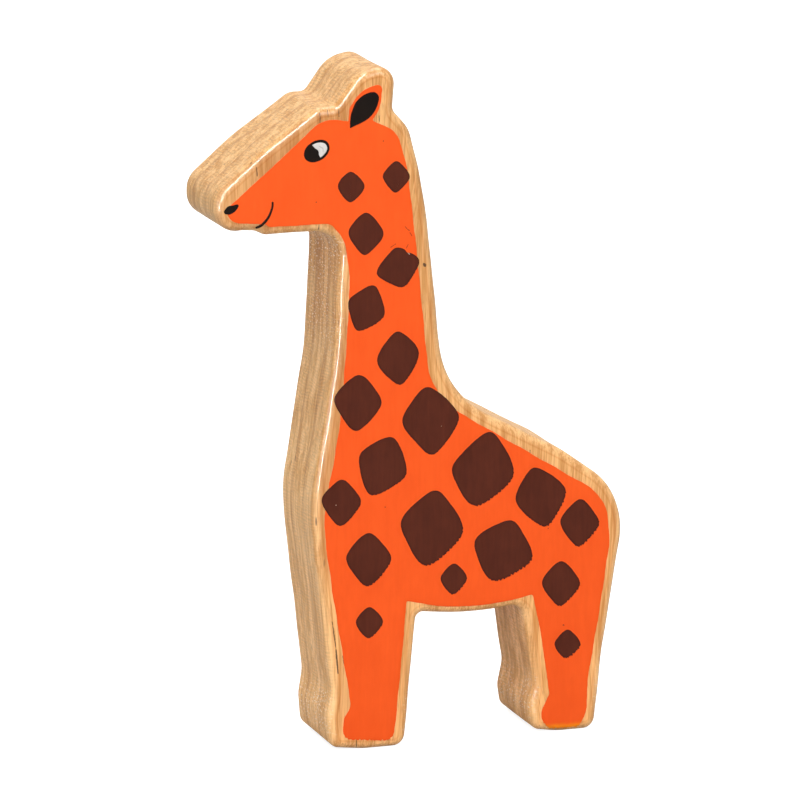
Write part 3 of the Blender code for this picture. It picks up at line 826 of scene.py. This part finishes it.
def paintStrip(name, side, outer, inner, layer, finish, slotName, cadNode, under=None):
    # A stroke of paint between two edges, given as matching points from its start to its end. A low
    # dome, up = film * (1 - |2v - 1| ^ 4), is carried along it and closed underneath.
    v = np.concatenate([np.linspace(0, 1, 15), [1.0, 0.0]])
    up = 1 - np.abs(2 * v - 1) ** 4
    flat = outer[:, None] + (inner - outer)[:, None] * v[None, :, None]
    height = startOf(flat, layer, under) + up * paint["film"]
    height[:, -2:] = -paint["sink"]
    rim = 0 * outer[:, 0] + face["strokeRim"]
    return layOn(name, side, flat, height, rim, finish, cadNode)


def strokeEdges(points, width, count=70):
    # A brush stroke: its two edges stand half a width off the curve, which swells towards its foot,
    # and both ends close in a half circle.
    spine = curveThrough(points, count)
    way = unit(np.gradient(spine, axis=0))
    left = np.stack([-way[:, 1], way[:, 0]], 1)
    along = np.append(0, np.cumsum(np.linalg.norm(np.diff(spine, axis=0), axis=1)))[:, None]
    full = width[0] + (width[1] - width[0]) * along / along[-1]
    toEnd = np.clip(np.minimum(along, along[-1] - along) / (full / 2), 0, 1)
    half = full / 2 * np.sqrt(np.clip(1 - (1 - toEnd) ** 2, 0.0004, 1))
    return spine + left * half, spine - left * half


coatOutline = outlineOf(coat["corners"], coat["step"])
coatEdge = (coatOutline, outwards(coatOutline))

whiteEdges = [curveThrough(face[edge], 90) for edge in ("whiteOuter", "whiteInner")]
smileEdges = strokeEdges(face["smile"], face["smileWidth"])
# CAD node, outline, softness of its edge, fine and slow wobble, and the coat it may run past
blackPatches = {
    "ear_paint": ("ear_black", curveThrough(face["ear"], 180), 0.2, 0.01, 0.02, None),
    "nostril_paint": ("nostril", outlineOf(face["nostril"], face["step"]),
                      0.2, 0.006, 0.01, coatEdge),
    "eye_paint": ("eye_black", ovalOutline(face["eyeCentre"], face["eyeHalf"], face["eyeTilt"]),
                  0.5, 0.01, 0.02, None),
}

for sideName, side in (("left", -1.0), ("right", 1.0)):
    paintFilm("coat_" + sideName, side, coatOutline, 1, orangePaint,
              "orange_coat_" + sideName, brushed("coat" + sideName, *coat["brush"]))
    for spotName, spot in spots.items():
        paintFilm("spot_" + spotName + "_" + sideName + "_paint", side,
                  softQuad(spot[:4], spot[4], spot[5]), 2, brownPaint,
                  "spot_" + spotName + "_" + sideName,
                  brushed(spotName + sideName, spotBrush["fine"], spotBrush["slow"],
                          spotBrush["ragged"] * spot[6]), under=coatEdge)
    for patchName, (cadNode, outline, soft, fine, coarse, under) in blackPatches.items():
        seedName = patchName.split("_")[0] + sideName
        paintFilm(patchName + "_" + sideName, side, outline, 2, blackPaint,
                  cadNode + "_" + sideName, brushed(seedName, fine, coarse), soft, under)
    paintStrip("eyeWhite_paint_" + sideName, side, *whiteEdges, 3, whitePaint, "white_paint",
               "eye_white_" + sideName)
    paintStrip("smile_paint_" + sideName, side, *smileEdges, 2, blackPaint, "black_paint",
               "smile_" + sideName, under=coatEdge)
    print(sideName, "face painted")


studio = {
    "floorSize": 8.0,
    "floorColour": (0.40, 0.395, 0.38, 1.0),
    "floorGlow": 0.88,          # how white the floor looks to the camera before any light falls
    "sky": 0.38,
    # name: azimuth towards the giraffe's front, elevation (degrees), distance (m), size (m),
    # power (W) and what it reaches: everything, only the matt surfaces or only the varnish
    "lights": {
        "frontSoftbox": (-19.0, 35.0, 1.9, (1.1, 1.1), 13.5, "all"),
        "topSoftbox": (-160.0, 70.0, 1.5, (1.2, 1.0), 12.0, "all"),
        "tallStrip": (28.0, 38.0, 1.0, (0.05, 1.40), 7.2, "all"),
        "wallSoftbox": (80.0, 2.0, 1.3, (0.6, 0.4), 3.4, "all"),
        "backFill": (215.0, 12.0, 1.9, (1.1, 1.1), 11.0, "matt"),
        "edgeStrip": (40.0, 38.0, 1.0, (0.07, 1.40), 14.0, "varnish"),
        "lowStrip": (53.0, -2.0, 0.60, (0.05, 0.16), 1.7, "varnish"),
        "backdrop": (172.0, 22.0, 1.6, (2.2, 1.0), 1.6, "varnish"),
    },
    "aimAt": (0.0, 0.0, 0.08),
}


def bearing(azimuth, elevation):
    # The direction that many degrees round to the giraffe's front from its left side, and up.
    turn, rise = math.radians(azimuth), math.radians(elevation)
    level = math.cos(rise)
    return Vector((-math.sin(turn) * level, -math.cos(turn) * level, math.sin(rise)))


def aim(made, aimAt, way, distance):
    # Stands a light or camera off in that direction and turns it to look back.
    made.location = Vector(aimAt) + way * distance
    made.rotation_euler = (-way).to_track_quat("-Z", "Y").to_euler()
    bpy.context.scene.collection.objects.link(made)


def makeFloor():
    half = studio["floorSize"] / 2
    mesh = bpy.data.meshes.new("studioFloor")
    mesh.from_pydata([(-half, -half, 0), (half, -half, 0), (half, half, 0), (-half, half, 0)], [],
                     [(0, 1, 2, 3)])
    floor = bpy.data.objects.new("studioFloor", mesh)
    bpy.context.scene.collection.objects.link(floor)
    made, tree, shader = newMaterial("paleFloor", Roughness=0.9, Specular_IOR_Level=0.0,
                                     Base_Color=studio["floorColour"],
                                     Emission_Color=(1, 1, 1, 1))
    seen = tree.nodes.new("ShaderNodeLightPath").outputs["Is Camera Ray"]
    tree.links.new(times(tree, seen, studio["floorGlow"]), shader.inputs["Emission Strength"])
    mesh.materials.append(made)


def makeLight(name, azimuth, elevation, distance, size, power, reaches):
    lamp = bpy.data.lights.new(name, "AREA")
    lamp.shape = "RECTANGLE"
    lamp.size, lamp.size_y = size
    lamp.energy = power
    made = bpy.data.objects.new(name, lamp)
    aim(made, studio["aimAt"], bearing(azimuth, elevation), distance)
    made.visible_camera = False
    made.visible_diffuse = reaches != "varnish"
    made.visible_glossy = reaches != "matt"


makeFloor()
for lightName, plan in studio["lights"].items():
    makeLight(lightName, *plan)

world = bpy.data.worlds.new("studioSky")
bpy.context.scene.world = world
world.use_nodes = True
sky = world.node_tree
background = sky.nodes["Background"]
direction = sky.nodes.new("ShaderNodeTexCoord")
lift = axes(sky, direction.outputs["Generated"])["Z"]
dome = between(sky, lift, -0.1, 0.9, studio["sky"] * 0.9, studio["sky"] * 1.15)
seen = sky.nodes.new("ShaderNodeLightPath").outputs["Is Camera Ray"]
background.inputs["Color"].default_value = (1, 1, 1, 1)
sky.links.new(sums(sky, "MAXIMUM", dome, seen), background.inputs["Strength"])


camera = {
    "azimuth": 18.63,           # round to the giraffe's front from its left side, in degrees
    "elevation": 12.81,
    "distance": 1.49604,
    "aimAt": (-0.00536, -0.0125, 0.08287),
    "lens": 292.5,
    "sensor": 36.0,
}


def makeCamera(plan):
    lens = bpy.data.cameras.new("studioCamera")
    lens.lens, lens.sensor_width = plan["lens"], plan["sensor"]
    made = bpy.data.objects.new("studioCamera", lens)
    aim(made, plan["aimAt"], bearing(plan["azimuth"], plan["elevation"]), plan["distance"])
    bpy.context.scene.camera = made


makeCamera(camera)
bpy.context.scene.view_settings.view_transform = "Standard"
print("studio and camera set")
